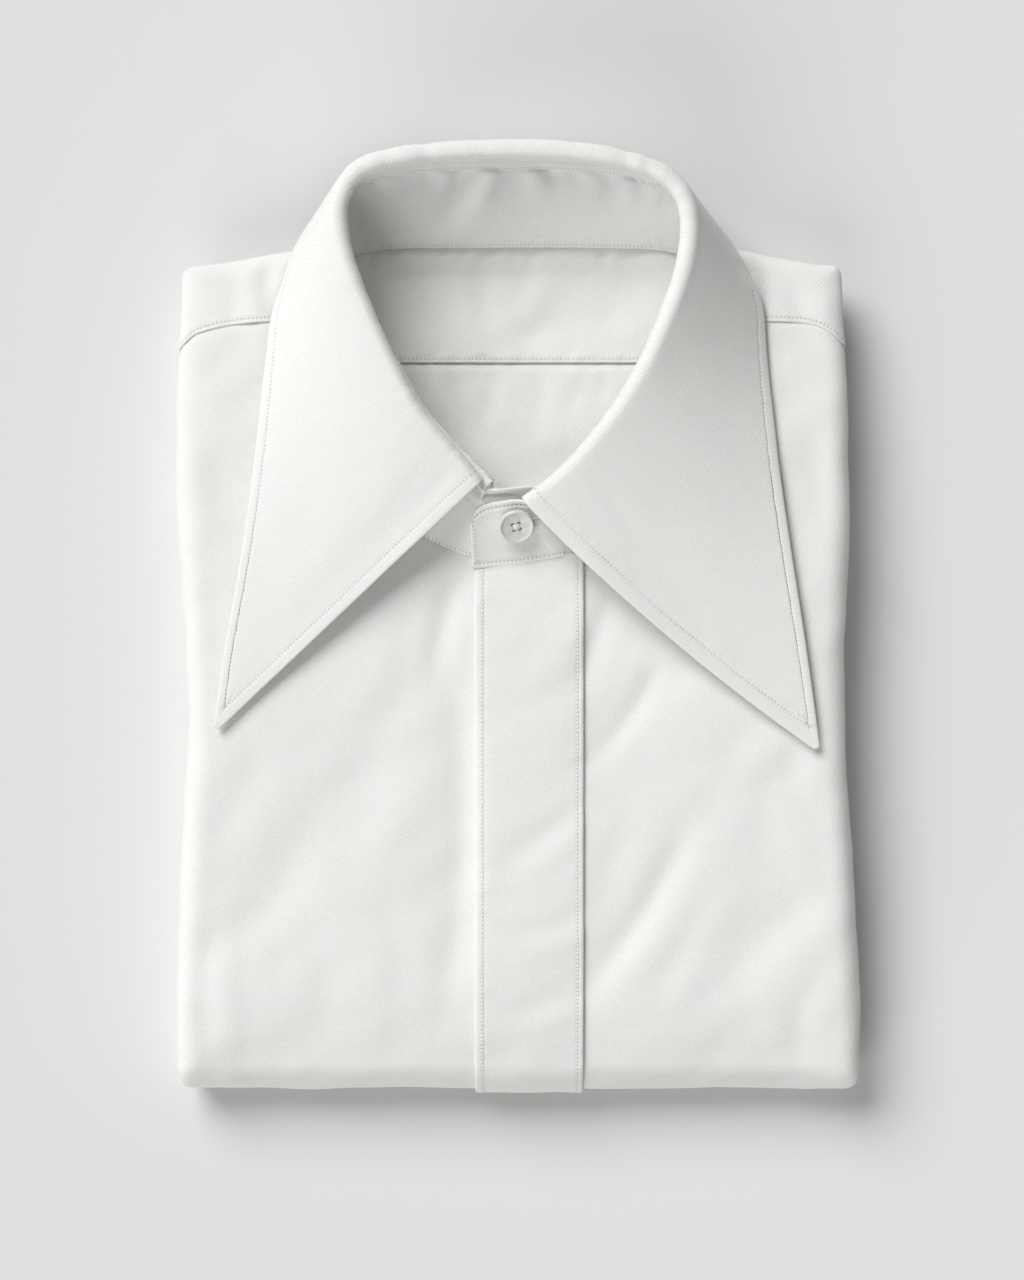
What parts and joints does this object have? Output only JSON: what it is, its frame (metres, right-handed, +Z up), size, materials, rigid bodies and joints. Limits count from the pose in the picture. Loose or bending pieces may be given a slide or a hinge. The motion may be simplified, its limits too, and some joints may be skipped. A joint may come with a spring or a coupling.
{
  "type": "folded dress shirt",
  "caption": "Long-sleeved dress shirt folded flat, with a long-pointed collar buttoned at the neck and a concealed placket.",
  "frame": {"origin": "centre of the part's bounding box at the surface that the shirt lies on", "axes": "+Y from the bottom fold to the back of the collar, +Z up out of the shirt's front, +X to the wearer's left, so towards the side that the placket is sewn to"},
  "size_m": [0.2372, 0.328, 0.0581],
  "materials": {
    "shirting": "matt fine cotton twill",
    "collar_cloth": "matt cotton twill over a firm interlining",
    "button": "satin moulded, slightly pearly"
  },
  "bodies": {
    "root": {"folded_layers": "shirting", "front_right": "shirting", "front_left": "shirting", "placket": "shirting", "yoke": "shirting", "yoke_lining": "shirting", "back_inside": "shirting", "collar_stand": "collar_cloth", "collar_fall": "collar_cloth", "collar_button": "button"}
  },
  "joints": []
}
